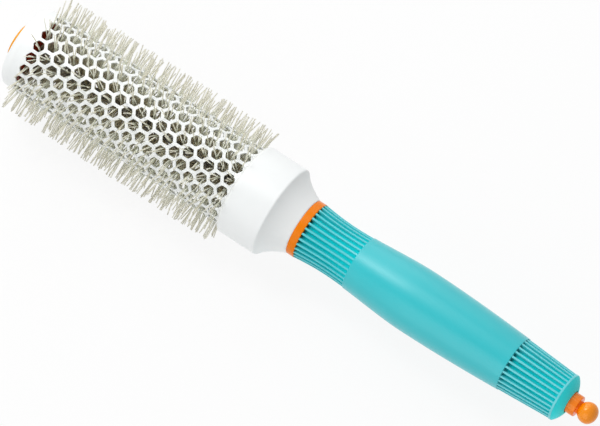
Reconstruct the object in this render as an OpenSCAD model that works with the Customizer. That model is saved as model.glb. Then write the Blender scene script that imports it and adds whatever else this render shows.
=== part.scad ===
// Round barrel hair brush: a vented metal barrel with bristles on a twisted wire, a soft ribbed grip
// and a sectioning pick that pulls out of the end of the handle.
// Every piece is drawn on the brush's own axis, from the front disc at z = 0 to the knob of the pick,
// and is then laid along X with the bristles on the ground.

/* [Barrel] */
// Outside diameter of the barrel
barrel_d = 35; // [29:0.5:43]
// Wall of the barrel with its coating
barrel_wall = 0.8; // [0.6:0.1:1.2]
// Vent holes in each ring
holes_around = 19; // [15:1:20]
// Rings of vent holes along the barrel
hole_rings = 20; // [8:1:24]
// Spacing of the rings along the barrel
ring_pitch = 4.97; // [4.6:0.01:6.2]
// Vent hole across its flats
hole_flats = 4.4; // [3:0.1:4.5]
// Plain band of the barrel outside the first and the last ring of holes
plain_band = 0.3; // [0.2:0.1:4]

/* [Bristles] */
// How far the bristles stand out of the barrel
bristle_reach = 8.5; // [4:0.5:14]
// Thickness of a tuft where the wire holds it
tuft_root_d = 1; // [0.6:0.1:1.1]
// Thickness of a tuft at its tip
tuft_tip_d = 1.7; // [1:0.1:2.4]
// Length of the clamped middle of a row, along the wire
tuft_band = 1.6; // [1.2:0.1:2.4]
// Diameter of each of the two wires that are twisted together
wire_d = 2.4; // [1.6:0.1:3]
// Room that the bristles keep between the two wires
wire_gap = 0.2; // [0.1:0.05:0.5]
// Length of one turn of the twisted wires
wire_lead = 15; // [10:0.5:24]

/* [Front end] */
// Diameter of the coloured end disc
disc_d = 14.4; // [10:0.1:20]
// How far the disc stands out of the front cap
disc_proud = 2.3; // [0.8:0.1:3]
// Radius of the disc's soft edge
disc_edge = 0.3; // [0.2:0.1:0.8]
// Radius of the round shoulder of the front cap
cap_round = 4.3; // [2:0.1:6.5]
// Length of the cap's sleeve inside the barrel
cap_sleeve = 3.1; // [2:0.1:6]
// Wall of the cap's sleeve and of the plug
cap_wall = 2; // [1.2:0.1:3]

/* [Neck] */
// How far the collar stands out from the barrel
collar_step = 2.3; // [1:0.1:4]
// Length of the collar, with its rounded front edge
collar_len = 18.4; // [12:0.1:26]
// Length of the rounded front edge
collar_edge = 1.8; // [0.5:0.1:3]
// Run of the soft ridge behind the collar, to either side of its corner
ridge_round = 1.2; // [0.4:0.1:2]
// Depth of the socket that takes the barrel
socket_depth = 8; // [4:0.5:10]
// Distance of the wire's boss from the front of the collar
boss_back = 4; // [2:0.5:8]
// Length of the hollow cone behind the collar
flare_len = 10.8; // [8:0.1:18]
// Distance of the cone's bend behind the collar
flare_bend_at = 3.9; // [2:0.1:6]
// Drop of the cone's bend under the collar
flare_bend_drop = 4.8; // [2:0.1:6]
// Length of the spigot in the handle
spigot_len = 16; // [8:0.5:30]
// Chamfer at the end of the spigot
spigot_chamfer = 1; // [0.4:0.1:1.6]

/* [Handle] */
// Diameter of the accent ring
ring_d = 24.6; // [23:0.1:28]
// Length of the accent ring
ring_len = 3.5; // [2:0.1:8]
// Length of the grip, without its domed end
grip_len = 122.9; // [100:0.1:150]
// Diameter of the grip at the accent ring
grip_front_d = 24.8; // [23.5:0.1:28]
// Diameter of the grip at its waist
waist_d = 22.9; // [21.8:0.1:26]
// Distance of the waist from the accent ring
waist_at = 14.8; // [8:0.1:22]
// Diameter of the grip at its belly
belly_d = 27; // [24:0.1:34]
// Distance of the belly from the accent ring
belly_at = 52; // [40:0.5:70]
// Diameter of the grip at its end
tail_d = 20.8; // [17:0.1:24]
// Narrowing of the radius for each mm of length near the end
tail_slope = 0.061; // [0.02:0.001:0.08]
// Length of the domed end of the grip
dome_len = 3; // [2:0.1:7]
// Diameter of the dome at the bend of its outline
dome_bend_d = 16; // [13:0.1:16.5]
// Distance of that bend behind the grip's end
dome_bend_at = 2.3; // [1:0.1:4]
// Wall of the stiff core inside the grip
core_wall = 2.4; // [1.6:0.1:2.8]
// Step of the accent ring's seat over the core
seat_step = 1.1; // [0.6:0.1:2]
// Step of the bands that lock the grip on the core
lock_step = 0.5; // [0.3:0.1:0.7]

/* [Ribs of the grip] */
// Ribs around the grip
rib_count = 30; // [20:1:34]
// Width of the groove between two ribs
groove_w = 1.2; // [0.6:0.1:1.4]
// Length of the ribbed stretch at the accent ring
front_ribs = 23.5; // [12:0.5:30]
// Length of the ribbed stretch at the end
rear_ribs = 24; // [12:0.5:34]
// Plain rim behind the rear ribs
rear_rim = 0.8; // [0.4:0.1:3]
// Drop of the rib tops under the plain grip
rib_inset = 0.2; // [0.1:0.05:0.4]
// Run of a groove past its ribs into the plain grip
groove_over = 0.3; // [0.2:0.1:0.3]
// Depth of a groove at its deep end
groove_deep = 1.7; // [0.8:0.1:1.8]
// Depth of a groove at its shallow end
groove_shallow = 0.7; // [0.4:0.1:0.8]
// Thinnest wall of the grip under a groove
grip_skin = 1.1; // [0.8:0.1:1.6]

/* [Sectioning pick] */
// How far the pick pulls out
pick_travel = 32; // [15:0.5:40]
// Diameter of the stem
stem_d = 5.4; // [4:0.1:6.5]
// Length of the sleeve that guides the stem
sleeve_len = 34; // [20:0.5:42]
// Diameter of the collar and of the knob
knob_d = 9.1; // [7:0.1:11]
// Length of the collar outside the grip
knob_collar = 3.8; // [2:0.1:6]
// Gap between the collar and the knob
knob_neck = 0.8; // [0.5:0.1:3]
// Length of the rounded nose of the knob
knob_nose = 4; // [2:0.1:5]
// Step of the snap barb over the stem
barb_step = 1.1; // [0.6:0.1:1.4]
// Width of the slot between the two snap prongs
slot_w = 1.4; // [0.8:0.1:2]
// Length of that slot
slot_len = 16; // [10:0.5:24]
// Radial clearance of the stem in its sleeve
run_gap = 0.06; // [0.03:0.01:0.1]
// Clearance of the collar in the grip and at the stops
free_gap = 0.3; // [0.3:0.05:0.6]

/* [Hidden] */
arc_steps = 8;
grip_steps = 10;
round_fn = 96;
wire_sides = 8;
wire_slices_per_turn = 8;
cut_over = 1;
edge_break = 0.3;

barrel_r = barrel_d / 2;
barrel_bore = barrel_r - barrel_wall;
hole_corner = hole_flats / 2 / cos(30);
hole_turn = 360 / holes_around;
tip_r = barrel_r + bristle_reach;
wire_r = wire_d + wire_gap / 2;
hub_r = wire_r + tuft_root_d;
boss_r = wire_r + cap_wall;

// Stations along the axis, from the front disc
cap_rear = disc_proud + cap_round;
sleeve_rear = cap_rear + cap_sleeve;
plug_seat = disc_proud + cap_wall;
first_ring = sleeve_rear + plain_band + hole_corner;
last_ring = first_ring + (hole_rings - 1) * ring_pitch;
collar_front = last_ring + hole_corner + plain_band;
barrel_rear = collar_front + socket_depth;
collar_rear = collar_front + collar_len;
neck_rear = collar_rear + flare_len;
ring_rear = neck_rear + ring_len;
spigot_rear = ring_rear + spigot_len;
grip_rear = ring_rear + grip_len;
dome_rear = grip_rear + dome_len;
wire_front = plug_seat + cap_wall;
wire_rear = spigot_rear - cap_wall;

// Sizes inside the handle, from the thinnest wall of the grip outwards in
collar_r = barrel_r + collar_step;
collar_lip = barrel_r + edge_break;
ring_r = ring_d / 2;
core_r = tail_d / 2 - rib_inset - groove_shallow - grip_skin;
core_bore = core_r - core_wall;
seat_r = core_r + seat_step;
lock_r = core_r + lock_step;
lock_len = 4;
lock_count = 3;
flange_t = 1.6;
core_rear = grip_rear - flange_t;
flange_rear = core_rear + flange_t;

// Stations and sizes of the pick
stem_r = stem_d / 2;
knob_r = knob_d / 2;
pick_hole = knob_r + free_gap;
sleeve_front = core_rear - sleeve_len;
barb_rear = sleeve_front - pick_travel - free_gap;
barb_len = 4;
barb_r = stem_r + barb_step;
stem_front = barb_rear - barb_len;
slot_rear = stem_front + slot_len;
knob_rear = dome_rear + knob_collar;
knob_mid = knob_rear + knob_neck + sqrt(knob_r * knob_r - stem_r * stem_r);
brush_len = knob_mid + knob_nose;

function two_digits(i) = str(i < 10 ? "0" : "", i);
function row_name(i) = str("bristle_row_", two_digits(i));
function ring_z(i) = first_ring + (i - 1) * ring_pitch;
function ring_phase(i) = (1 - i % 2) * hole_turn / 2;

// Outlines are lists of [radius, station] points

// An arc of an ellipse about c, with radii rx and ry, from angle a0 to a1
function arc(c, rx, ry, a0, a1) =
    [for (i = [0:arc_steps])
        let (a = a0 + (a1 - a0) * i / arc_steps)
        c + [rx * cos(a), ry * sin(a)]];

// A curve from p to q that leaves and arrives on the lines through c
function bend(p, c, q) =
    [for (i = [0:arc_steps])
        let (t = i / arc_steps)
        (1 - t) * (1 - t) * p + 2 * t * (1 - t) * c + t * t * q];

// Radius of the grip's plain outline at distance d from the accent ring: a parabola down to the waist,
// an ease up to the belly, and a cubic that runs out along the straight taper of the tail
function grip_r(d) =
    d < waist_at ? front_part(1 - d / waist_at)
    : d < belly_at ? middle_part((d - waist_at) / (belly_at - waist_at))
    : tail_part((d - belly_at) / (grip_len - belly_at));
function front_part(u) = waist_d / 2 + (grip_front_d - waist_d) / 2 * u * u;
function middle_part(u) = waist_d / 2 + (belly_d - waist_d) / 2 * (3 - 2 * u) * u * u;
function tail_part(u) =
    belly_d / 2 + (tail_d - belly_d) / 2 * (3 - 2 * u) * u * u
    + tail_slope * (grip_len - belly_at) * (1 - u) * u * u;

// Stretch of the grip's outline from distance d0 to d1, lowered by drop
function grip_stretch(d0, d1, drop) =
    [for (i = [0:grip_steps])
        let (d = d0 + (d1 - d0) * i / grip_steps)
        [grip_r(d) - drop, ring_rear + d]];

module turned(points) {
    rotate_extrude($fn = round_fn) polygon(points);
}

module around(count, phase = 0) {
    for (i = [0:count - 1]) rotate([0, 0, phase + i * 360 / count]) children();
}

// Puts a piece that stands on the brush's axis into the lying frame
module lay() {
    translate([-brush_len / 2, 0, tip_r]) rotate([0, 90, 0]) children();
}

module barrel() {
    color("white") difference() {
        translate([0, 0, cap_rear]) difference() {
            cylinder(r = barrel_r, h = barrel_rear - cap_rear, $fn = round_fn);
            translate([0, 0, -cut_over])
                cylinder(r = barrel_bore, h = barrel_rear - cap_rear + 2 * cut_over, $fn = round_fn);
        }
        for (i = [1:hole_rings])
            translate([0, 0, ring_z(i)]) around(holes_around, ring_phase(i)) vent_hole();
    }
}

// A hexagonal hole with two corners along the axis, as deep as the wall needs
module vent_hole() {
    translate([barrel_bore - cut_over, 0, 0]) rotate([0, 90, 0])
        cylinder(r = hole_corner, h = barrel_wall + 2 * cut_over, $fn = 6);
}

module front_cap() {
    color("white") turned(concat(
        [[disc_d / 2, plug_seat], [disc_d / 2, disc_proud]],
        arc([barrel_r - cap_round, cap_rear], cap_round, cap_round, -90, 0),
        [[barrel_bore, cap_rear], [barrel_bore, sleeve_rear],
         [barrel_bore - cap_wall, sleeve_rear], [barrel_bore - cap_wall, cap_rear],
         [barrel_r - cap_round, plug_seat]]
    ));
}

// The disc that shows at the front, the cup behind it that fills the cap, and the boss for the wire
module end_plug() {
    plug_r = barrel_bore - cap_wall;
    cup_r = plug_r - cap_wall;
    color("darkorange") turned(concat(
        [[0, 0]],
        arc([disc_d / 2 - disc_edge, disc_edge], disc_edge, disc_edge, -90, 0),
        [[disc_d / 2, plug_seat], [barrel_r - cap_round, plug_seat], [plug_r, cap_rear],
         [plug_r, sleeve_rear], [cup_r, sleeve_rear], [cup_r, cap_rear], [boss_r, wire_front],
         [boss_r, sleeve_rear], [wire_r, sleeve_rear], [wire_r, wire_front], [0, wire_front]]
    ));
}

// Two round wires wound about each other, clamped on the middles of the bristles
module twisted_wire() {
    turns = (wire_rear - wire_front) / wire_lead;
    color("silver") translate([0, 0, wire_front])
        linear_extrude(height = wire_rear - wire_front, twist = -360 * turns,
                       slices = round(turns * wire_slices_per_turn))
            around(2) translate([wire_r - wire_d / 2, 0]) circle(d = wire_d, $fn = wire_sides);
}

// The bristles that stand in one ring of holes: a tuft to each hole, clamped in the middle by the wire
module bristle_row(i) {
    color("wheat") translate([0, 0, ring_z(i)]) {
        difference() {
            cylinder(r = hub_r, h = tuft_band, center = true, $fn = round_fn);
            cylinder(r = wire_r, h = tuft_band + 2 * cut_over, center = true, $fn = round_fn);
        }
        around(holes_around, ring_phase(i)) tuft();
    }
}

module tuft() {
    root = hub_r - tuft_root_d / 2;
    translate([root, 0, 0]) rotate([0, 90, 0])
        cylinder(d1 = tuft_root_d, d2 = tuft_tip_d, h = tip_r - root, $fn = round_fn);
}

module neck() {
    socket_floor = barrel_bore - cap_wall;
    boss_front = collar_front + boss_back;
    flare_bend = [collar_r - flare_bend_drop, collar_rear + flare_bend_at];
    ridge = [collar_r, collar_rear];
    down_cone = (flare_bend - ridge) / norm(flare_bend - ridge);
    color("white") turned(concat(
        [[barrel_r, collar_front]],
        arc([collar_lip, collar_front + collar_edge], collar_r - collar_lip, collar_edge, -90, 0),
        bend(ridge - [0, ridge_round], ridge, ridge + down_cone * ridge_round),
        bend(ridge + down_cone * (ridge_round + edge_break), flare_bend, [ring_r, neck_rear]),
        [[seat_r, neck_rear], [seat_r, ring_rear], [core_bore, ring_rear],
         [core_bore, spigot_rear - spigot_chamfer], [core_bore - spigot_chamfer, spigot_rear],
         [wire_r, spigot_rear], [wire_r, boss_front], [boss_r, boss_front],
         [boss_r, neck_rear - cap_wall], [seat_r, neck_rear - cap_wall],
         [socket_floor, collar_rear], [socket_floor, barrel_rear],
         [barrel_r, barrel_rear]]
    ));
}

module accent_ring() {
    color("darkorange") turned([
        [seat_r, neck_rear], [ring_r - edge_break, neck_rear], [ring_r, neck_rear + edge_break],
        [ring_r, ring_rear - edge_break], [ring_r - edge_break, ring_rear], [seat_r, ring_rear]
    ]);
}

// Outline of the handle core, with the raised bands that lock the grip on it
function core_outline() =
    concat(
        [[core_r, ring_rear]],
        [for (i = [1:lock_count])
            let (z = ring_rear + belly_at + (i - (lock_count + 1) / 2) * lock_len * 2)
            each [[core_r, z - lock_len / 2], [lock_r, z - lock_len / 2],
                  [lock_r, z + lock_len / 2], [core_r, z + lock_len / 2]]],
        [[core_r, core_rear]]
    );

module handle_core() {
    color("gainsboro") turned(concat(
        core_outline(),
        [[core_bore, core_rear], [core_bore, ring_rear]]
    ));
}

module grip() {
    rear_start = grip_len - rear_rim - rear_ribs;
    color("mediumturquoise") difference() {
        turned(concat(
            grip_stretch(0, front_ribs, rib_inset),
            grip_stretch(front_ribs, rear_start, 0),
            grip_stretch(rear_start, grip_len - rear_rim, rib_inset),
            bend([tail_d / 2, grip_rear], [dome_bend_d / 2, grip_rear + dome_bend_at],
                 [pick_hole, dome_rear]),
            [[pick_hole, flange_rear], [core_r, flange_rear]],
            [for (i = [len(core_outline()) - 1:-1:0]) core_outline()[i]]
        ));
        around(rib_count) {
            groove(-cut_over, front_ribs + groove_over, groove_deep, groove_shallow);
            groove(rear_start - groove_over, grip_len - rear_rim + groove_over, groove_deep, groove_shallow);
        }
    }
}

// A straight groove from distance d0 to d1, with the depths at its two ends
module groove(d0, d1, depth0, depth1) {
    top = belly_d;
    floor0 = grip_r(max(d0, 0)) - rib_inset - depth0;
    floor1 = grip_r(d1) - rib_inset - depth1;
    rotate([90, 0, 0]) linear_extrude(height = groove_w, center = true)
        polygon([[floor0, ring_rear + d0], [floor1, ring_rear + d1],
                 [top, ring_rear + d1], [top, ring_rear + d0]]);
}

// Guide of the pick, with a flange that closes the handle core
module pick_sleeve() {
    bore = stem_r + run_gap;
    color("whitesmoke") turned([
        [bore, sleeve_front], [core_bore - edge_break, sleeve_front], [core_bore, sleeve_front + edge_break],
        [core_bore, core_rear], [core_r, core_rear], [core_r, flange_rear], [bore, flange_rear]
    ]);
}

// Stem with two snap prongs at its inner end, the collar in the mouth of the grip, and the knob
module pick() {
    collar_in = flange_rear + free_gap;
    knob_front = asin((knob_mid - knob_rear - knob_neck) / knob_r);
    color("darkorange") difference() {
        turned(concat(
            [[0, stem_front], [stem_r - edge_break, stem_front], [barb_r, barb_rear - edge_break],
             [barb_r, barb_rear], [stem_r, barb_rear], [stem_r, collar_in], [knob_r, collar_in],
             [knob_r, knob_rear - edge_break], [knob_r - edge_break, knob_rear], [stem_r, knob_rear]],
            arc([0, knob_mid], knob_r, knob_r, -knob_front, 0),
            arc([0, knob_mid], knob_r, knob_nose, 90 / arc_steps, 90)
        ));
        translate([-barb_r, -slot_w / 2, stem_front - cut_over])
            cube([2 * barb_r, slot_w, slot_rear - stem_front + cut_over]);
    }
}

lay() barrel();
lay() front_cap();
lay() end_plug();
lay() twisted_wire();
lay() neck();
lay() accent_ring();
lay() handle_core();
lay() grip();
lay() pick_sleeve();
lay() pick();
for (i = [1:hole_rings])
    lay() bristle_row(i);
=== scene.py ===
"""Looks of the round barrel hair brush: surfaces, materials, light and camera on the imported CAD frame."""
import math

import bmesh
import bpy
import numpy as np
from mathutils import Matrix, Vector

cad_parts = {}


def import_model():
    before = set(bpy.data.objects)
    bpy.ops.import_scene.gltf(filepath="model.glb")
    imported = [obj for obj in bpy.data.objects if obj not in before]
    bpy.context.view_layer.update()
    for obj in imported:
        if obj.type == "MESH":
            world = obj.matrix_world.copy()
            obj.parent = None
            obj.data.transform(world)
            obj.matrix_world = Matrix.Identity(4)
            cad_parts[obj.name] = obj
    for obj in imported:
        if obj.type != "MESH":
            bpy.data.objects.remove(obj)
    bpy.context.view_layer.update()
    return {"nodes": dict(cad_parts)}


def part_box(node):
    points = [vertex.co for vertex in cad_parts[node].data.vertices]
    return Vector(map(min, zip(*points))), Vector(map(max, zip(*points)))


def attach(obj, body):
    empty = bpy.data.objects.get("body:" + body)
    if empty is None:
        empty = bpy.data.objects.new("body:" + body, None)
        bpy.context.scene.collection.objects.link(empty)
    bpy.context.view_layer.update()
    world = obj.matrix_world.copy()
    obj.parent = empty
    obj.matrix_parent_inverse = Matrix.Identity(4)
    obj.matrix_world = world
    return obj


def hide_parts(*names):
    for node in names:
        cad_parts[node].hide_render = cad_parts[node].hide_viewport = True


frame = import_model()

# Sizes are in mm. A station is the distance along the brush from the face of the end disc.
MM = 0.001
FULL_TURN = 2 * np.pi
FRONT_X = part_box("end_plug")[0].x
AXIS_Z = (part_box("barrel")[0].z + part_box("barrel")[1].z) / 2


def span(node):
    """First and last station of a CAD node."""
    low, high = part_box(node)
    return (low.x - FRONT_X) / MM, (high.x - FRONT_X) / MM


def radius(node):
    """Largest radius of a CAD node about the brush's axis."""
    low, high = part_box(node)
    return max(high.y - low.y, high.z - low.z) / 2 / MM


# Barrel
BARREL_FRONT, BARREL_REAR = span("barrel")
BARREL_R = radius("barrel")
BARREL_WALL = 0.8
BORE_R = BARREL_R - BARREL_WALL
HOLES_AROUND = 19
HOLE_TURN = FULL_TURN / HOLES_AROUND
HOLE_FLATS = 4.4
HOLE_EDGE = 0.12
SEAM = 0.05

# Bristles and wire
ROWS = sorted(name for name in frame["nodes"] if name.startswith("bristle_row_"))
ROW_STATIONS = np.linspace(*(sum(span(name)) / 2 for name in (ROWS[0], ROWS[-1])), len(ROWS))
ROW_PITCH = ROW_STATIONS[1] - ROW_STATIONS[0]
ROW_PHASES = np.arange(len(ROWS)) % 2 / 2 * HOLE_TURN
TIP_R = radius(ROWS[0])
TIP_INSET, TIP_SCATTER = 0.22, 0.35
FILAMENTS_PER_HOLE = 3
FILAMENT_R, FILAMENT_TAPER = 0.3, 0.25
FILAMENT_SIDES = 4
WIRE_R = radius("twisted_wire")
WIRE_LEAD = 15.0
WIRE_GAP = 0.2
ROOT_R = WIRE_R + FILAMENT_R
ROOT_SCATTER, GATE_SCATTER, GATE_LIMIT = 0.8, 0.9, 1.7

# Leans are sideways runs for each mm outwards. The row at either end leans in full and the next one by half.
LEAN_SCATTER, FRONT_LEAN, REAR_LEAN = 0.015, -0.06, 0.08
LEANING_ROWS = 2

# Front end
CAP_FRONT, SLEEVE_REAR = span("front_cap")
CAP_ROUND = BARREL_FRONT - CAP_FRONT
CAP_WALL = 2.0
DISC_R = 7.2
DISC_EDGE = 0.3
DISC_GAP = 0.04
PLUG_R = radius("end_plug")
BOSS_R = WIRE_R + CAP_WALL

# Neck and accent ring
COLLAR_FRONT, SPIGOT_REAR = span("neck")
COLLAR_R = radius("neck")
COLLAR_EDGE = 1.8
COLLAR_LIP = BARREL_R + 0.3
RIDGE_ROUND = 0.6
CONE_START = RIDGE_ROUND + 0.3
FLARE_LEN = 10.8
FLARE_BEND_AT, FLARE_BEND_DROP = 3.9, 4.8
BOSS_BACK = 4.0
SPIGOT_R = 6.0
RING_FRONT, RING_REAR = span("accent_ring")
RING_R = radius("accent_ring")
RING_SEAT_R = 9.5
RING_EDGE = 0.35

# Grip
GRIP_FRONT, DOME_REAR = span("grip")
DOME_LEN = 3.0
DOME_BEND_R, DOME_BEND_AT = 8.0, 2.3
GRIP_LEN = DOME_REAR - DOME_LEN - GRIP_FRONT
GRIP_FRONT_R, WAIST_R, BELLY_R, TAIL_R = 12.4, 11.45, radius("grip"), 10.4
WAIST_AT, BELLY_AT, TAIL_SLOPE = 14.8, 52.0, 0.061
RIBS = 30
FRONT_RIBS, REAR_RIBS, REAR_RIM = 23.5, 24.0, 0.8
RIB_INSET, GROOVE_DEEP, GROOVE_SHALLOW = 0.2, 1.7, 0.7
GROOVE_SHARE = 0.64
# DEEP_END is how far the painted shade at a groove's deep end reaches, in mm.
GROOVE_END, DEEP_END = 0.3, 1.5
RIM_ROUND, RIM_SHARE = 0.15, 0.1
HOLE_BREAK = 0.1
# How strongly the painted highlight pales the front ribs' crests; the rear ones take it in full.
FRONT_PAINTED_HIGHLIGHT = 0.5
CORE_R = radius("handle_core")

# Pick
PICK_FRONT, KNOB_REAR = span("pick")
KNOB_R = radius("pick")
KNOB_NECK, KNOB_NOSE = 0.8, 4.0
NOSE_TIP_DEGREES = 0.3
STEM_R = 2.7
BARB_STEP, BARB_LEN, BARB_TOP, BARB_BACK = 1.1, 4.0, 0.3, 0.05
PRONG_LEAD, PRONG_ROOT = 0.3, 0.2
SLOT_W, SLOT_LEN = 1.4, 16.0
FREE_GAP = 0.3
PICK_HOLE = KNOB_R + FREE_GAP


# Shapes

# A turned piece that reaches the axis ends in a tiny flat of this radius.
AXIS_R = 0.02

# Beside a rounded corner stands a close point, so that smooth shading leaves the flats flat.
ROUND_SHARE, CLOSE_POINT = 0.45, 1.08


def placed(station, across, down):
    """Point in metres at a station and at distances across and below the brush's axis."""
    station, across, down = np.broadcast_arrays(station, across, down)
    return np.stack([FRONT_X + station * MM, across * MM, AXIS_Z - down * MM], -1)


def xyz(station, r, angle):
    """Point in metres at a station, a radius and an angle about the axis; angle 0 points straight down."""
    station, r, angle = np.broadcast_arrays(station, r, angle)
    return placed(station, r * np.sin(angle), r * np.cos(angle))


def grid_quads(rows, columns, wrap_rows, wrap_columns):
    """Four corners of every cell of a grid of points, whose rows or columns may close on themselves."""
    cells = np.arange(rows - (not wrap_rows)), np.arange(columns - (not wrap_columns))
    i, j = np.meshgrid(*cells, indexing="ij")
    below, beside = (i + 1) % rows, (j + 1) % columns
    corners = [i * columns + j, below * columns + j, below * columns + beside, i * columns + beside]
    return np.stack(corners, -1).reshape(-1, 4)


def tube_faces(rows, columns, count=1):
    """Faces of equal tubes whose points follow one another: the cells of a grid whose columns close, and a
    flat face over its first row and over its last."""
    first = np.arange(count)[:, None, None] * rows * columns
    walls = grid_quads(rows, columns, False, True) + first
    ends = np.array([[0], [(rows - 1) * columns]]) + np.arange(columns) + first
    return walls.reshape(-1, 4).tolist() + ends.reshape(-1, columns).tolist()


def arc(centre, along, across, start, end, steps=16):
    """Outline points on an ellipse about a centre, from start to end in degrees; 90 is away from the axis."""
    angle = np.radians(np.linspace(start, end, steps + 1))
    return np.stack([centre[0] + along * np.cos(angle), centre[1] + across * np.sin(angle)], -1)


def bend(first, corner, last, steps=16):
    """Outline points on a parabola from first to last, whose ends lie along the lines through a corner."""
    t = np.linspace(0, 1, steps + 1)[:, None]
    return (1 - t) ** 2 * np.array(first) + 2 * t * (1 - t) * np.array(corner) + t ** 2 * np.array(last)


def rounded(corners, steps=5):
    """Outline through corners of (station, radius, round): a short parabola at each, with a close point on
    either side. The first and the last corner stay sharp."""
    spots = np.array(corners)[:, :2]
    points = [spots[:1]]
    for before, here, after, reach in zip(spots, spots[1:], spots[2:], np.array(corners)[1:-1, 2]):
        back, on = before - here, after - here
        lengths = np.linalg.norm([back, on], axis=1)
        back, on = (back, on) * (np.minimum(reach, ROUND_SHARE * lengths) / lengths)[:, None]
        points += [(here + back * CLOSE_POINT)[None], bend(here + back, here, here + on, steps),
                   (here + on * CLOSE_POINT)[None]]
    return np.concatenate(points + [spots[-1:]])


def turned(outline, columns=160, closed=True):
    """Outline of (station, radius) points turned about the axis. An open one gets a flat face at each end."""
    angle = np.arange(columns) / columns * FULL_TURN
    points = xyz(outline[:, :1], outline[:, 1:], angle).reshape(-1, 3)
    rows = len(outline)
    return points, grid_quads(rows, columns, True, True) if closed else tube_faces(rows, columns)


def piece(name, shape, material, node, body="brush", hides=True):
    """Closed smooth mesh that stands for a CAD node and moves with its body. A shape is points and faces
    and, where its material reads them, marks: named values at the points."""
    points, faces, marks = (*shape, {})[:3]
    mesh = bpy.data.meshes.new(name)
    mesh.from_pydata(points, [], faces)
    for mark, values in marks.items():
        data = mesh.attributes.new(mark, "FLOAT", "POINT").data
        data.foreach_set("value", np.ravel(values).astype(np.float32))
    work = bmesh.new()
    work.from_mesh(mesh)
    bmesh.ops.recalc_face_normals(work, faces=work.faces)
    work.to_mesh(mesh)
    work.free()
    mesh.polygons.foreach_set("use_smooth", np.ones(len(mesh.polygons), bool))
    mesh.materials.append(material)
    obj = bpy.data.objects.new(name, mesh)
    bpy.context.scene.collection.objects.link(obj)
    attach(obj, body)
    if hides:
        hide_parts(node)


# Materials

# How far a moulding's roughness swings to either side.
GLOSS_SWING = 0.04


def linear(colour):
    """Linear RGBA of an sRGB colour such as #F3F5F5."""
    srgb = np.array([int(colour[i:i + 2], 16) / 255 for i in (1, 3, 5)])
    return (*np.where(srgb <= 0.04045, srgb / 12.92, ((srgb + 0.055) / 1.055) ** 2.4), 1.0)


def add(tree, kind, inputs=None, **settings):
    """New shader node: inputs maps a socket's name or number to a value, or to the output that feeds it. A
    Mix node for colours has its factor at 0, its two colours at 6 and 7, and its result at output 2."""
    node = tree.nodes.new(kind)
    for key, value in settings.items():
        setattr(node, key, value)
    for key, value in (inputs or {}).items():
        if isinstance(value, bpy.types.NodeSocket):
            tree.links.new(value, node.inputs[key])
        else:
            node.inputs[key].default_value = value
    return node


def new_material(name):
    """Empty node material, its tree, its output node and its Object coordinates."""
    material = bpy.data.materials.new(name)
    material.use_nodes = True
    tree = material.node_tree
    tree.nodes.clear()
    place = add(tree, "ShaderNodeTexCoord").outputs["Object"]
    return material, tree, add(tree, "ShaderNodeOutputMaterial"), place


def per_mm(size):
    """Noise scale whose grains measure about a size in mm."""
    return 1 / (size * MM)


# Ceramic coat sprayed on an aluminium tube: clean white, half gloss, faintly pebbled, and creamier inside.
def ceramic_coat():
    """White in patches of 6 mm with pebbles of 0.35 mm, and a creamier white where the mark "inside" is 1."""
    material, tree, out, place = new_material("ceramic_coated_aluminium")
    inside = add(tree, "ShaderNodeAttribute", attribute_name="inside").outputs["Fac"]
    cloud = add(tree, "ShaderNodeTexNoise", {"Vector": place, "Scale": per_mm(6.0)}).outputs["Fac"]
    pebble = add(tree, "ShaderNodeTexNoise", {"Vector": place, "Scale": per_mm(0.35)}).outputs["Fac"]
    white = add(tree, "ShaderNodeMix", {0: cloud, 6: linear("#F4F7F7"), 7: linear("#EEF1F2")},
                data_type="RGBA").outputs[2]
    cream = add(tree, "ShaderNodeMix", {0: cloud, 6: linear("#F7F3E2"), 7: linear("#EDE8D4")},
                data_type="RGBA").outputs[2]
    colour = add(tree, "ShaderNodeMix", {0: inside, 6: white, 7: cream}, data_type="RGBA").outputs[2]
    gloss = add(tree, "ShaderNodeMapRange", {"Value": cloud, "To Min": 0.24, "To Max": 0.36})
    relief = add(tree, "ShaderNodeBump", {"Height": pebble, "Distance": 0.012 * MM})
    shader = add(tree, "ShaderNodeBsdfPrincipled", {
        "Base Color": colour, "Roughness": gloss.outputs["Result"], "Normal": relief.outputs["Normal"]})
    tree.links.new(shader.outputs[0], out.inputs["Surface"])
    return material


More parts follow.
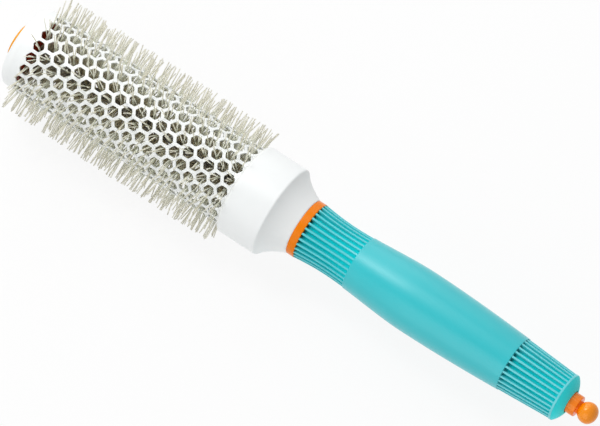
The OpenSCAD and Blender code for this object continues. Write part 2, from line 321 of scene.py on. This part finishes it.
# Extruded nylon: pale and lets light through; painted shade dulls it a little outside the barrel and
# yellows it towards the wire.
def nylon():
    """Filament whose tint differs from one to the next. Along it a root colour, a painted shade for the dim
    inside of the barrel, gives way to a pale one, and that to a slightly darker painted shade past the
    barrel.
    Most of the light that it takes in passes through."""
    see_through = 0.6
    material, tree, out, _ = new_material("nylon_filament")
    tint = add(tree, "ShaderNodeAttribute", attribute_name="tint").outputs["Fac"]
    along = add(tree, "ShaderNodeAttribute", attribute_name="along").outputs["Fac"]
    pale = add(tree, "ShaderNodeMix", {0: tint, 6: linear("#FCFDF7"), 7: linear("#F4F5EA")},
               data_type="RGBA").outputs[2]
    # A slightly darker painted shade for the filaments past the barrel.
    outer = add(tree, "ShaderNodeMix", {0: tint, 6: linear("#F6F5ED"), 7: linear("#EBE9DE")},
                data_type="RGBA").outputs[2]
    out_of_root_shade = add(tree, "ShaderNodeMapRange", {"Value": along, "From Min": 0.15, "From Max": 0.45})
    past_hole = add(tree, "ShaderNodeMapRange", {"Value": along, "From Min": 0.62, "From Max": 0.78})
    clear = add(tree, "ShaderNodeMix", {0: past_hole.outputs["Result"], 6: pale, 7: outer},
                data_type="RGBA").outputs[2]
    # The root colour is a painted shade for the dim inside of the barrel.
    colour = add(tree, "ShaderNodeMix", {0: out_of_root_shade.outputs["Result"], 6: linear("#EEE8D6"), 7: clear},
                 data_type="RGBA").outputs[2]
    solid = add(tree, "ShaderNodeBsdfPrincipled", {"Base Color": colour, "Roughness": 0.3}).outputs[0]
    through = add(tree, "ShaderNodeBsdfTranslucent", {"Color": colour}).outputs[0]
    mixed = add(tree, "ShaderNodeMixShader", {0: see_through, 1: solid, 2: through})
    tree.links.new(mixed.outputs[0], out.inputs["Surface"])
    return material


# Galvanised iron wire: grey metal with uneven gloss from the drawing die.
def wire_steel():
    """Metal whose colour and gloss change over about half a millimetre."""
    material, tree, out, place = new_material("galvanised_wire")
    streak = add(tree, "ShaderNodeTexNoise", {"Vector": place, "Scale": per_mm(0.6)}).outputs["Fac"]
    colour = add(tree, "ShaderNodeMix", {0: streak, 6: linear("#8E8A80"), 7: linear("#6C685F")},
                 data_type="RGBA").outputs[2]
    gloss = add(tree, "ShaderNodeMapRange", {"Value": streak, "To Min": 0.3, "To Max": 0.5})
    shader = add(tree, "ShaderNodeBsdfPrincipled", {
        "Base Color": colour, "Metallic": 1.0, "Roughness": gloss.outputs["Result"]})
    tree.links.new(shader.outputs[0], out.inputs["Surface"])
    return material


# ABS from a polished mould: even colour, clear soft reflections, the faintest waviness.
def moulded(name, colour, drift_colour, unlit_colour, roughness, grain, depth, shine=0.5, mirror="#FFFFFF"):
    """Plastic that drifts between two close colours over 15 mm, with a grain of the given size and depth in
    mm. Where the mark "inside" is 1 it takes the unlit colour, a painted shade. Its reflections have a
    level, shine, and a tint, mirror."""
    material, tree, out, place = new_material(name)
    drift = add(tree, "ShaderNodeTexNoise", {"Vector": place, "Scale": per_mm(15.0)}).outputs["Fac"]
    skin = add(tree, "ShaderNodeTexNoise", {"Vector": place, "Scale": per_mm(grain)}).outputs["Fac"]
    inside = add(tree, "ShaderNodeAttribute", attribute_name="inside").outputs["Fac"]
    outside = add(tree, "ShaderNodeMix", {0: drift, 6: linear(colour), 7: linear(drift_colour)},
                  data_type="RGBA").outputs[2]
    # Painted shade: the unlit colour where the mark "inside" is 1.
    base = add(tree, "ShaderNodeMix", {0: inside, 6: outside, 7: linear(unlit_colour)},
               data_type="RGBA").outputs[2]
    gloss = add(tree, "ShaderNodeMapRange", {
        "Value": skin, "To Min": roughness - GLOSS_SWING, "To Max": roughness + GLOSS_SWING})
    relief = add(tree, "ShaderNodeBump", {"Height": skin, "Distance": depth * MM})
    shader = add(tree, "ShaderNodeBsdfPrincipled", {
        "Base Color": base, "Roughness": gloss.outputs["Result"], "Normal": relief.outputs["Normal"],
        "Specular IOR Level": shine, "Specular Tint": linear(mirror)})
    tree.links.new(shader.outputs[0], out.inputs["Surface"])
    return material


# Thermoplastic elastomer from a spark-eroded mould: satin, finely grained, dull grooves; painted highlight
# on the crests, painted shade at the grooves' deep ends, painted light on the dome.
def soft_touch():
    """Turquoise rubber with a grain of 0.2 mm. The mark "crest" pales it with a painted highlight. The mark
    "groove" leads to a smooth dull floor with a tinted reflection, darkened by painted shade where "deep" is
    1 and lightened by painted light on the dome, where "end" is 1."""
    material, tree, out, place = new_material("soft_touch_elastomer")
    groove, crest, deep, end = (
        add(tree, "ShaderNodeAttribute", attribute_name=mark).outputs["Fac"]
        for mark in ("groove", "crest", "deep", "end"))
    drift = add(tree, "ShaderNodeTexNoise", {"Vector": place, "Scale": per_mm(20.0)}).outputs["Fac"]
    grain = add(tree, "ShaderNodeTexNoise", {"Vector": place, "Scale": per_mm(0.2)}).outputs["Fac"]
    skin = add(tree, "ShaderNodeMix", {0: drift, 6: linear("#08C0C9"), 7: linear("#04BAC3")},
               data_type="RGBA").outputs[2]
    # Painted highlight on the rib crests and the rim.
    painted_highlight = add(tree, "ShaderNodeMix", {0: crest, 6: skin, 7: linear("#62D4DC")}, data_type="RGBA").outputs[2]
    # Painted shade at the deep ends of the grooves.
    bottom = add(tree, "ShaderNodeMix", {0: deep, 6: linear("#00CED3"), 7: linear("#008086")},
                 data_type="RGBA").outputs[2]
    # Painted light on the dome.
    sunk = add(tree, "ShaderNodeMix", {0: end, 6: bottom, 7: linear("#30E9ED")}, data_type="RGBA").outputs[2]
    colour = add(tree, "ShaderNodeMix", {0: groove, 6: painted_highlight, 7: sunk}, data_type="RGBA").outputs[2]
    mirror = add(tree, "ShaderNodeMix", {0: groove, 6: linear("#FFFFFF"), 7: linear("#70C8C8")},
                 data_type="RGBA").outputs[2]
    gloss = add(tree, "ShaderNodeMapRange", {"Value": groove, "To Min": 0.36, "To Max": 0.9})
    rise = add(tree, "ShaderNodeMapRange", {"Value": groove, "To Min": 0.8, "To Max": 0.1})
    relief = add(tree, "ShaderNodeBump", {
        "Strength": rise.outputs["Result"], "Height": grain, "Distance": 0.015 * MM})
    shader = add(tree, "ShaderNodeBsdfPrincipled", {
        "Base Color": colour, "Roughness": gloss.outputs["Result"], "Normal": relief.outputs["Normal"],
        "Specular Tint": mirror, "Specular IOR Level": 0.72, "Sheen Weight": 0.25, "Sheen Roughness": 0.45})
    tree.links.new(shader.outputs[0], out.inputs["Surface"])
    return material


CERAMIC = ceramic_coat()
NYLON = nylon()
STEEL = wire_steel()
WHITE = moulded("white_plastic", "#F4F6F6", "#EEF1F1", "#EEF1F1", 0.38, 0.6, 0.004)
ORANGE = moulded("orange_plastic", "#F08100", "#EA7B00", "#EA7B00", 0.2, 0.6, 0.004, 0.14)
# The end plug's unlit colour is a dark red-brown painted shade inside the barrel.
GOLDEN_ORANGE = moulded("golden_orange_plastic", "#E8A00C", "#E29A08", "#A8340A", 0.3, 0.6, 0.004, 0.1)
# The pick's unlit colour is a deeper orange painted shade on its collar and stem.
GLOSSY_ORANGE = moulded("polished_orange_plastic", "#FF9406", "#FB8E02", "#FF7E00", 0.14, 0.8, 0.003, 0.65,
                        "#FFE2B8")
NATURAL = moulded("natural_plastic", "#DEDFDC", "#D4D5D2", "#D4D5D2", 0.5, 0.4, 0.01)
TURQUOISE = soft_touch()


# Barrel

def cell_outline(points_per_side, half_len, shoulder, half_width):
    """Edge of a cell of the hole pattern, as (along, across) points: a hexagon with a corner at each end."""
    corners = np.array([(half_len, 0), (shoulder, half_width), (-shoulder, half_width), (-half_len, 0),
                        (-shoulder, -half_width), (shoulder, -half_width)])
    t = np.arange(points_per_side)[None, :, None] / points_per_side
    return (corners[:, None] * (1 - t) + np.roll(corners, -1, 0)[:, None] * t).reshape(-1, 2)


def hole_outline(directions, half_flats, sharpness=26):
    """Points of a hexagon with slightly rounded corners, one towards each (along, across) direction: the
    distance is the flats' distance over the power mean of how much the direction faces each flat."""
    angle = np.arctan2(directions[:, 1], directions[:, 0])
    flats = np.radians(30 + 60 * np.arange(6))
    facing = np.maximum(np.cos(angle[:, None] - flats), 0) ** sharpness
    reach = half_flats / facing.sum(1) ** (1 / sharpness)
    return np.stack([reach * np.cos(angle), reach * np.sin(angle)], -1)


def barrel():
    """Tube of staggered cells, each with a hexagonal hole whose edge rolls over into the wall, and plain
    ends. Every cell is a stack of loops from its outer edge through the hole to its inner edge, and
    neighbours share their edges. A strip at either end leads from the zigzag of the last cells to the
    straight rim and back inside."""
    per_side, close_loop = 5, 1.3
    half = HOLE_FLATS / 2
    edge = cell_outline(per_side, ROW_PITCH * 2 / 3, ROW_PITCH / 3, HOLE_TURN * BARREL_R / 2)
    roll = np.radians([0, 30, 60, 90])
    growth = np.concatenate([[HOLE_EDGE * close_loop], HOLE_EDGE * (1 - np.sin(roll)), [0, HOLE_EDGE]])
    loops = np.stack([edge] + [hole_outline(edge, half + more) for more in growth] + [edge])
    height = np.concatenate([[BARREL_R] * 2, BARREL_R - HOLE_EDGE * (1 - np.cos(roll)),
                             [BORE_R + HOLE_EDGE, BORE_R, BORE_R]])[:, None]
    station = ROW_STATIONS[:, None, None, None] + loops[..., 0]
    hole = ROW_PHASES[:, None] + np.arange(HOLES_AROUND) * HOLE_TURN
    angle = hole[:, :, None, None] + loops[..., 1] / BARREL_R
    cells = xyz(station, height, angle)
    first = np.arange(len(ROWS) * HOLES_AROUND)[:, None, None] * loops[..., 0].size
    quads = [(grid_quads(*loops.shape[:2], False, True) + first).reshape(-1, 4)]
    points = [cells.reshape(-1, 3)]
    inside = [np.broadcast_to(height < BORE_R + HOLE_EDGE / 2, cells.shape[:-1]).reshape(-1)]
    for row, end, side in ((0, BARREL_FRONT, -1), (-1, BARREL_REAR, 1)):
        steps = np.arange(HOLES_AROUND * 2 * per_side) / (2 * per_side)
        tooth = np.abs((steps + 0.5) % 1 - 0.5) * 2
        zigzag = ROW_STATIONS[row] + side * ROW_PITCH / 3 * (2 - tooth)
        rim = np.full_like(zigzag, end)
        strip = np.stack([zigzag, (zigzag + end) / 2, rim - side * 2 * SEAM, rim - side * SEAM,
                          rim, rim, zigzag])
        strip_r = np.array([BARREL_R] * 4 + [BARREL_R - SEAM, BORE_R, BORE_R])[:, None]
        quads.append(grid_quads(*strip.shape, False, True) + sum(map(len, points)))
        points.append(xyz(strip, strip_r, ROW_PHASES[row] + steps * HOLE_TURN).reshape(-1, 3))
        inside.append(np.broadcast_to(strip_r < BARREL_R - SEAM, strip.shape).reshape(-1))
    points, quads, inside = map(np.concatenate, (points, quads, inside))
    tenth_micron = np.round(points / 1e-7).astype(np.int64)
    _, kept, index = np.unique(tenth_micron, axis=0, return_index=True, return_inverse=True)
    return points[kept], index.reshape(-1)[quads], {"inside": inside[kept]}


piece("perforated_barrel", barrel(), CERAMIC, "barrel")


# Bristles and wire

# Where the rings of a filament stand along it, and how much of its two parts the bend between them takes.
PATH_MARKS = np.array([0, 0.55, 0.62, 0.7, 0.85, 1.0])
BEND_BEFORE, BEND_AFTER = 0.1, 0.18
random = np.random.default_rng(35)


def filaments(row):
    """Tufts of one row. A filament runs straight from a scattered root at the wire to a scattered gate in
    its hole, and on to its tip with the lean of that line, a little of its own and that of its row. A
    parabola eases the bend at the gate. Around that path goes a thin square tube that tapers by the square
    of the way."""
    count, rings = HOLES_AROUND * FILAMENTS_PER_HOLE, len(PATH_MARKS)
    hole = np.repeat(ROW_PHASES[row] + np.arange(HOLES_AROUND) * HOLE_TURN, FILAMENTS_PER_HOLE)
    gate = np.clip(random.normal(0, GATE_SCATTER, (count, 2)), -GATE_LIMIT, GATE_LIMIT)
    root_along = random.uniform(-0.5, 0.5, count) * ROW_PITCH
    root = np.column_stack([root_along, random.normal(0, ROOT_SCATTER, count)])
    lean = (gate - root) / (BARREL_R - ROOT_R) + random.normal(0, LEAN_SCATTER, (count, 2))
    rows_behind = len(ROWS) - 1 - row
    lean[:, 0] += FRONT_LEAN * max(0, 1 - row / LEANING_ROWS)
    lean[:, 0] += REAR_LEAN * max(0, 1 - rows_behind / LEANING_ROWS)
    start = np.column_stack([root, np.full(count, ROOT_R)])
    middle = np.column_stack([gate, np.full(count, BARREL_R)])
    ahead = np.column_stack([lean, np.ones(count)])
    reach = TIP_R - BARREL_R - TIP_INSET - TIP_SCATTER * random.random(count)
    end = middle + ahead * reach[:, None]
    before, after = middle + (start - middle) * BEND_BEFORE, middle + (end - middle) * BEND_AFTER
    path = np.stack([start, before, (before + 2 * middle + after) / 4, after, (after + end) / 2, end], 1)
    line = end - start
    side = np.cross(line, [0.0, 1.0, 0.0])
    side /= np.linalg.norm(side, axis=1, keepdims=True)
    other = np.cross(side, line)
    other /= np.linalg.norm(other, axis=1, keepdims=True)
    corner = np.arange(FILAMENT_SIDES) * FULL_TURN / FILAMENT_SIDES
    ring = side[:, None] * np.cos(corner)[:, None] + other[:, None] * np.sin(corner)[:, None]
    thick = FILAMENT_R * (1 - FILAMENT_TAPER * PATH_MARKS ** 2)[None, :, None, None]
    along, beside, outwards = (path[:, :, None] + ring[:, None] * thick).reshape(-1, 3).T
    turn = np.repeat(hole, rings * FILAMENT_SIDES)
    points = placed(ROW_STATIONS[row] + along, outwards * np.sin(turn) + beside * np.cos(turn),
                    outwards * np.cos(turn) - beside * np.sin(turn))
    marks = {"tint": np.repeat(random.random(count), rings * FILAMENT_SIDES),
             "along": np.tile(np.repeat(PATH_MARKS, FILAMENT_SIDES), count)}
    return points, tube_faces(rings, FILAMENT_SIDES, count), marks


def twisted_wire():
    """Two round wires, each a tube about a helix round the brush's axis."""
    front, rear = span("twisted_wire")
    wire_r = (WIRE_R - WIRE_GAP / 2) / 2
    offset = WIRE_R - wire_r
    sides, rings = 12, 400
    station = np.linspace(front, rear, rings)[:, None]
    around = np.arange(sides) / sides * FULL_TURN
    starts = np.array([0, np.pi])[:, None, None]
    turn = starts + (station - front) / WIRE_LEAD * FULL_TURN
    across = offset * np.sin(turn) + wire_r * np.sin(turn + around)
    down = offset * np.cos(turn) + wire_r * np.cos(turn + around)
    return placed(station, across, down).reshape(-1, 3), tube_faces(rings, sides, len(starts))


for row, node in enumerate(ROWS):
    piece(node.replace("bristle_row", "filaments"), filaments(row), NYLON, node)
piece("twisted_wires", twisted_wire(), STEEL, "twisted_wire")


# Front cap, end plug, neck and accent ring

def front_cap():
    """Cap with a quarter-round shoulder that meets the barrel, a hole for the disc and a sleeve inside."""
    face_r, hole_r, seat = BARREL_R - CAP_ROUND, DISC_R + DISC_GAP, CAP_FRONT + CAP_WALL
    shoulder = arc((BARREL_FRONT, face_r), -CAP_ROUND, CAP_ROUND, 0, 90, 28)
    rest = rounded([(BARREL_FRONT - 2 * SEAM, BARREL_R, 0), (BARREL_FRONT, BARREL_R, SEAM),
                    (BARREL_FRONT, BORE_R, SEAM), (SLEEVE_REAR, BORE_R, 0.2),
                    (SLEEVE_REAR, BORE_R - CAP_WALL, 0.2), (BARREL_FRONT, BORE_R - CAP_WALL, 0.3),
                    (seat, face_r, 0.3), (seat, hole_r, 0.1), (CAP_FRONT, hole_r, 0.3),
                    (CAP_FRONT, face_r, 0)])
    return turned(np.concatenate([shoulder[:-1], rest[:-1]]))


def end_plug():
    """Disc with a soft edge that stands out of the cap, the cup behind it and the boss for the wire. The mark
    "inside" is 1 behind the cap's front wall, where the plug takes a dark red-brown painted shade."""
    seat = CAP_FRONT + CAP_WALL
    cup, cup_r = seat + CAP_WALL, PLUG_R - CAP_WALL
    outline = rounded([(0, AXIS_R, 0), (0, DISC_R, DISC_EDGE), (seat, DISC_R, 0.1),
                       (seat, BARREL_R - CAP_ROUND, 0.1), (BARREL_FRONT, PLUG_R, 0.1),
                       (SLEEVE_REAR, PLUG_R, 0.2), (SLEEVE_REAR, cup_r, 0.2), (BARREL_FRONT, cup_r, 0.3),
                       (cup, BOSS_R, 0.3), (SLEEVE_REAR, BOSS_R, 0.2), (SLEEVE_REAR, WIRE_R, 0.1),
                       (cup, WIRE_R, 0.1), (cup, AXIS_R, 0)])
    points, faces = turned(outline, closed=False)
    return points, faces, {"inside": points[:, 0] > FRONT_X + (seat + SEAM) * MM}


def neck():
    """Collar with a rounded front edge and a soft ridge, a hollow cone down to the ring, and a spigot."""
    ridge = np.array([RING_FRONT - FLARE_LEN, COLLAR_R])
    hollow = ridge + (FLARE_BEND_AT, -FLARE_BEND_DROP)
    down_cone = (hollow - ridge) / np.linalg.norm(hollow - ridge)
    front = arc((COLLAR_FRONT + COLLAR_EDGE, COLLAR_LIP), -COLLAR_EDGE, COLLAR_R - COLLAR_LIP, 0, 90)
    top = bend(ridge - (RIDGE_ROUND, 0), ridge, ridge + down_cone * RIDGE_ROUND, 10)
    cone = bend(ridge + down_cone * CONE_START, hollow, (RING_FRONT, RING_R), 32)
    wall, boss, cone_end = BORE_R - CAP_WALL, COLLAR_FRONT + BOSS_BACK, RING_FRONT - CAP_WALL
    rest = rounded([(RING_FRONT, RING_R, 0), (RING_FRONT, RING_SEAT_R, 0.1), (RING_REAR, RING_SEAT_R, 0.1),
                    (RING_REAR, SPIGOT_R, 0.1), (SPIGOT_REAR, SPIGOT_R, 1.0), (SPIGOT_REAR, WIRE_R, 0.1),
                    (boss, WIRE_R, 0.1), (boss, BOSS_R, 0.3), (cone_end, BOSS_R, 0.5),
                    (cone_end, RING_SEAT_R, 0.5), (ridge[0], wall, 1.0), (BARREL_REAR, wall, 0.1),
                    (BARREL_REAR, BARREL_R, SEAM), (COLLAR_FRONT, BARREL_R, SEAM),
                    (COLLAR_FRONT, COLLAR_LIP, 0)])
    return turned(np.concatenate([front, top, cone, rest[1:-1]]))


def accent_ring():
    """Band with softly broken edges."""
    return turned(rounded([(RING_FRONT, RING_SEAT_R, 0), (RING_FRONT, RING_R, RING_EDGE),
                           (RING_REAR, RING_R, RING_EDGE), (RING_REAR, RING_SEAT_R, 0)]))


piece("front_cap_shell", front_cap(), WHITE, "front_cap")
piece("end_plug_moulding", end_plug(), GOLDEN_ORANGE, "end_plug")
piece("neck_moulding", neck(), WHITE, "neck")
piece("accent_band", accent_ring(), ORANGE, "accent_ring")


# Grip

# Rows of points along a ribbed stretch and the plain one, rows over the rise at a groove's end, and the clear
# way from those to the next.
RIBBED_ROWS, PLAIN_ROWS = 26, 40
END_ROWS, CLEAR_WAY = np.linspace(-0.06, 0.36, 7), 0.5

# Points across a groove's bottom and a rib's top, in rib pitches, and over a flank, from its middle.
BOTTOM_STEPS, TOP_STEPS = [-0.1, 0, 0.1], [0.42, 0.5, 0.58]
FLANK_STEPS = np.array([-0.06, -0.045, -0.03, -0.015, 0, 0.015, 0.03])

# Steps round the rim: the first without the painted highlight, and the first that belongs to the dome.
RIM_PLAIN, RIM_DOME = 4, 5


def ease(u):
    """Smooth rise from 0 at 0 to 1 at 1."""
    u = np.clip(u, 0, 1)
    return (3 - 2 * u) * u * u


def grip_r(d):
    """Radius of the plain grip at distance d from the accent ring: a parabola down to the waist, an ease up
    to the belly, and a cubic that runs out along the straight taper of the tail."""
    front = WAIST_R + (GRIP_FRONT_R - WAIST_R) * (1 - d / WAIST_AT) ** 2
    middle = WAIST_R + (BELLY_R - WAIST_R) * ease((d - WAIST_AT) / (BELLY_AT - WAIST_AT))
    u = (d - BELLY_AT) / (GRIP_LEN - BELLY_AT)
    tail = BELLY_R + (TAIL_R - BELLY_R) * ease(u) + TAIL_SLOPE * (GRIP_LEN - BELLY_AT) * (1 - u) * u * u
    return np.where(d < WAIST_AT, front, np.where(d < BELLY_AT, middle, tail))


def grip():
    """Plain outline less an inset over each ribbed stretch and, in a groove, less a depth that falls along
    the stretch. The grooves' flanks and ends are short eases. The rim, the domed end, the pick's hole and
    the bore close the surface. Marks say where it is groove, where a painted highlight pales the crests and
    the rim, where painted shade darkens the deep end of a groove, and where painted light lightens the
    domed end."""
    rear_start, rear_end = GRIP_LEN - REAR_RIM - REAR_RIBS, GRIP_LEN - REAR_RIM
    dome_rear = GRIP_LEN + DOME_LEN
    d = np.unique(np.concatenate([
        np.linspace(0, FRONT_RIBS - CLEAR_WAY, RIBBED_ROWS), FRONT_RIBS - END_ROWS,
        np.linspace(FRONT_RIBS + GROOVE_END, rear_start - GROOVE_END, PLAIN_ROWS), rear_start + END_ROWS,
        np.linspace(rear_start + CLEAR_WAY, rear_end - CLEAR_WAY, RIBBED_ROWS), rear_end - END_ROWS,
        [GRIP_LEN - GROOVE_END]]))
    flank = GROOVE_SHARE / 2 + FLANK_STEPS
    step = np.concatenate([-flank[::-1], BOTTOM_STEPS, flank, TOP_STEPS])
    angle = ((np.arange(RIBS)[:, None] + step) / RIBS * FULL_TURN).reshape(-1)
    from_middle = np.minimum(np.abs(step), 0.5)
    groove = np.tile(1 - ease((from_middle - flank[0]) / (flank[-1] - flank[0])), RIBS)
    front_zone = 1 - ease((d - FRONT_RIBS) / GROOVE_END + 1)
    rear_zone = ease((d - rear_start) / GROOVE_END) * (1 - ease((d - rear_end) / GROOVE_END + 1))
    fall = GROOVE_SHALLOW - GROOVE_DEEP
    depth = front_zone * (GROOVE_DEEP + fall * d / FRONT_RIBS)
    depth += rear_zone * (GROOVE_DEEP + fall * (d - rear_start) / REAR_RIBS)
    r = (grip_r(d) - RIB_INSET * (front_zone + rear_zone))[:, None] - depth[:, None] * groove
    rim, bulge = np.array([GRIP_LEN, TAIL_R]), np.array([GRIP_LEN + DOME_BEND_AT, DOME_BEND_R])
    leave = rim + (bulge - rim) * RIM_SHARE
    back = np.concatenate([
        bend(rim - (RIM_ROUND, 0), rim, leave, 6),
        bend(leave, bulge, (dome_rear, PICK_HOLE + HOLE_BREAK), 14)[1:],
        rounded([(dome_rear, PICK_HOLE + HOLE_BREAK, 0), (dome_rear - HOLE_BREAK, PICK_HOLE, SEAM),
                 (GRIP_LEN, PICK_HOLE, SEAM), (GRIP_LEN, CORE_R, SEAM), (0, CORE_R, 0)])[1:]])
    stations = GRIP_FRONT + np.concatenate([d, back[:, 0]])
    radii = np.concatenate([r, np.broadcast_to(back[:, 1:], (len(back), len(angle)))])
    rows = len(d)
    marks = {mark: np.zeros_like(radii) for mark in ("groove", "crest", "deep", "end")}
    marks["groove"][:rows] = np.maximum(front_zone, rear_zone)[:, None] * groove
    marks["groove"][rows + RIM_DOME:] = 1
    # Painted light on the domed end.
    marks["end"][rows + RIM_DOME:] = 1
    from_deep_end = np.where(d < FRONT_RIBS, d, np.maximum(d - rear_start, 0))
    # Painted shade at the deep end of each groove.
    marks["deep"][:rows] = np.exp(-(from_deep_end / DEEP_END) ** 2)[:, None] * groove
    # Painted highlight on the crests, and in full on the rim.
    marks["crest"][:rows] = np.maximum(FRONT_PAINTED_HIGHLIGHT * front_zone, rear_zone)[:, None] * (1 - groove)
    marks["crest"][np.flatnonzero(d > rear_end)[0]:rows + RIM_PLAIN] = 1
    points = xyz(stations[:, None], radii, angle).reshape(-1, 3)
    return points, grid_quads(*radii.shape, True, True), marks


piece("ribbed_grip", grip(), TURQUOISE, "grip")


# Pick

def pick():
    """Stem behind its slot, collar with a broken edge, and a knob that is a ball in front and a longer nose
    behind. The mark "inside" is 1 up to the neck of the knob, where a deeper orange painted shade covers the
    collar and the stem."""
    middle = KNOB_REAR - KNOB_NOSE
    ball_front = math.sqrt(KNOB_R ** 2 - STEM_R ** 2)
    collar_rear = middle - ball_front - KNOB_NECK
    collar_front = GRIP_FRONT + GRIP_LEN + FREE_GAP
    slot_rear = PICK_FRONT + SLOT_LEN
    stem = rounded([(slot_rear, AXIS_R, 0), (slot_rear, STEM_R, 0.1), (collar_front, STEM_R, 0.1),
                    (collar_front, KNOB_R, 0.3), (collar_rear, KNOB_R, 0.45), (collar_rear, STEM_R, 0.25),
                    (middle - ball_front, STEM_R, 0)])
    ball = arc((middle, 0), -KNOB_R, KNOB_R, math.degrees(math.asin(STEM_R / KNOB_R)), 90, 20)
    nose = arc((middle, 0), KNOB_NOSE, KNOB_R, 90, NOSE_TIP_DEGREES, 28)
    points, faces = turned(np.concatenate([stem[:-1], ball, nose[1:]]), 96, closed=False)
    return points, faces, {"inside": points[:, 0] < FRONT_X + (collar_rear + KNOB_NECK / 2) * MM}


def prongs():
    """Two snap prongs with a slot between them: a round outline with a barb, cut flat on the slot's side."""
    barb_r, barb_rear, root = STEM_R + BARB_STEP, PICK_FRONT + BARB_LEN, PICK_FRONT + SLOT_LEN + PRONG_ROOT
    outline = rounded([(PICK_FRONT, STEM_R - PRONG_LEAD, 0), (barb_rear - BARB_TOP, barb_r, 0.2),
                       (barb_rear, barb_r, 0.1), (barb_rear + BARB_BACK, STEM_R, 0.1), (root, STEM_R, 0)])
    columns = 24
    cut = np.arcsin(SLOT_W / 2 / outline[:, 1:])
    angle = cut + (np.pi - 2 * cut) * np.linspace(0, 1, columns)
    sides = np.array([1, -1])[:, None, None]
    points = xyz(outline[:, :1], outline[:, 1:], sides * angle).reshape(-1, 3)
    return points, tube_faces(len(outline), columns, len(sides))


piece("sectioning_pick", pick(), GLOSSY_ORANGE, "pick", body="pick")
piece("pick_prongs", prongs(), GLOSSY_ORANGE, "pick", body="pick", hides=False)

for node in ("handle_core", "pick_sleeve"):
    frame["nodes"][node].data.materials.clear()
    frame["nodes"][node].data.materials.append(NATURAL)


# Floor, light and camera

PHOTO_SIZE = (600, 426)
PX_PER_MM = 2.52
RING_REAR_PX = (310.7, 231.6)
AZIMUTH, ELEVATION = 35.1, 68.5
CAMERA_DISTANCE = 9.0
SENSOR_MM = 36.0
FLOOR_HALF, FLOOR_GAP = 4.0, 0.5 * MM
SHADOW_SHARE = 0.12
WORLD_LIGHT = 0.38

# Azimuth and elevation in degrees, side of the square in metres and power in watts.
LAMP_DISTANCE = 1.0
LAMPS = {"key": (-114, 56, 0.8, 3.7), "glint": (-98, 63, 0.25, 2.2),
         "edge": (-150, 25, 0.8, 2.4), "fill": (12, 25, 1.0, 3.5)}


def direction(azimuth, elevation):
    """Way back to a viewer at an azimuth and elevation in degrees; azimuth 0 looks along +Y."""
    a, e = math.radians(azimuth), math.radians(elevation)
    return Vector((math.sin(a) * math.cos(e), -math.cos(a) * math.cos(e), math.sin(e)))


def looking(back):
    """Rotation of a camera or light that looks against back, upright."""
    right = Vector((0, 0, 1)).cross(back).normalized()
    return Matrix((right, back.cross(right), back)).transposed()


def background(tree, lit, plain):
    """Plain where the camera, a reflection or a clear body looks at it, and lit for all other rays."""
    ray = add(tree, "ShaderNodeLightPath").outputs
    clear = add(tree, "ShaderNodeMath", {0: ray["Is Glossy Ray"], 1: ray["Is Transmission Ray"]},
                operation="MAXIMUM").outputs[0]
    seen = add(tree, "ShaderNodeMath", {0: ray["Is Camera Ray"], 1: clear}, operation="MAXIMUM").outputs[0]
    return add(tree, "ShaderNodeMixShader", {0: seen, 1: lit, 2: plain}).outputs[0]


def floor():
    """Wide sheet of white paper just under the bristles, on which a faint shadow is left."""
    corners = np.array([(-1, -1, 0), (1, -1, 0), (1, 1, 0), (-1, 1, 0)]) * FLOOR_HALF - (0, 0, FLOOR_GAP)
    mesh = bpy.data.meshes.new("floor")
    mesh.from_pydata(corners, [], [(0, 1, 2, 3)])
    material, tree, out, _ = new_material("white_paper")
    paper = add(tree, "ShaderNodeBsdfDiffuse", {"Color": linear("#F2F2F2")}).outputs[0]
    white = add(tree, "ShaderNodeEmission", {"Color": linear("#FFFFFF")}).outputs[0]
    shadowed = add(tree, "ShaderNodeMixShader", {0: SHADOW_SHARE, 1: white, 2: paper}).outputs[0]
    tree.links.new(background(tree, paper, shadowed), out.inputs["Surface"])
    mesh.materials.append(material)
    obj = bpy.data.objects.new("floor", mesh)
    bpy.context.scene.collection.objects.link(obj)


def world():
    """Even white light from all round, seen as plain white."""
    data = bpy.data.worlds.new("studio")
    data.use_nodes = True
    tree = data.node_tree
    tree.nodes.clear()
    light, white = (
        add(tree, "ShaderNodeBackground", {"Color": linear("#FFFFFF"), "Strength": strength}).outputs[0]
        for strength in (WORLD_LIGHT, 1.0))
    out = add(tree, "ShaderNodeOutputWorld")
    tree.links.new(background(tree, light, white), out.inputs["Surface"])
    bpy.context.scene.world = data


def softbox(name, azimuth, elevation, size, power):
    """Square area light that faces the middle of the brush."""
    data = bpy.data.lights.new(name, "AREA")
    data.size, data.energy = size, power
    obj = bpy.data.objects.new(name, data)
    back = direction(azimuth, elevation)
    spot = Vector((0, 0, AXIS_Z)) + back * LAMP_DISTANCE
    obj.matrix_world = Matrix.Translation(spot) @ looking(back).to_4x4()
    bpy.context.scene.collection.objects.link(obj)


def camera():
    """Camera at the photograph's angle, aimed so that the middle of the accent ring's rear falls on its
    pixel of the photograph."""
    back = direction(AZIMUTH, ELEVATION)
    turn = looking(back)
    right, down = (pixel - size / 2 for pixel, size in zip(RING_REAR_PX, PHOTO_SIZE))
    aim = Vector((FRONT_X + RING_REAR * MM, 0, AXIS_Z)) - turn @ Vector((right, -down, 0)) / PX_PER_MM * MM
    data = bpy.data.cameras.new("camera")
    data.sensor_width = SENSOR_MM
    data.lens = SENSOR_MM * CAMERA_DISTANCE / (PHOTO_SIZE[0] / PX_PER_MM * MM)
    obj = bpy.data.objects.new("camera", data)
    obj.matrix_world = Matrix.Translation(aim + back * CAMERA_DISTANCE) @ turn.to_4x4()
    bpy.context.scene.collection.objects.link(obj)
    bpy.context.scene.camera = obj


floor()
world()
for name, settings in LAMPS.items():
    softbox(name, *settings)
camera()
bpy.context.scene.view_settings.view_transform = "Standard"
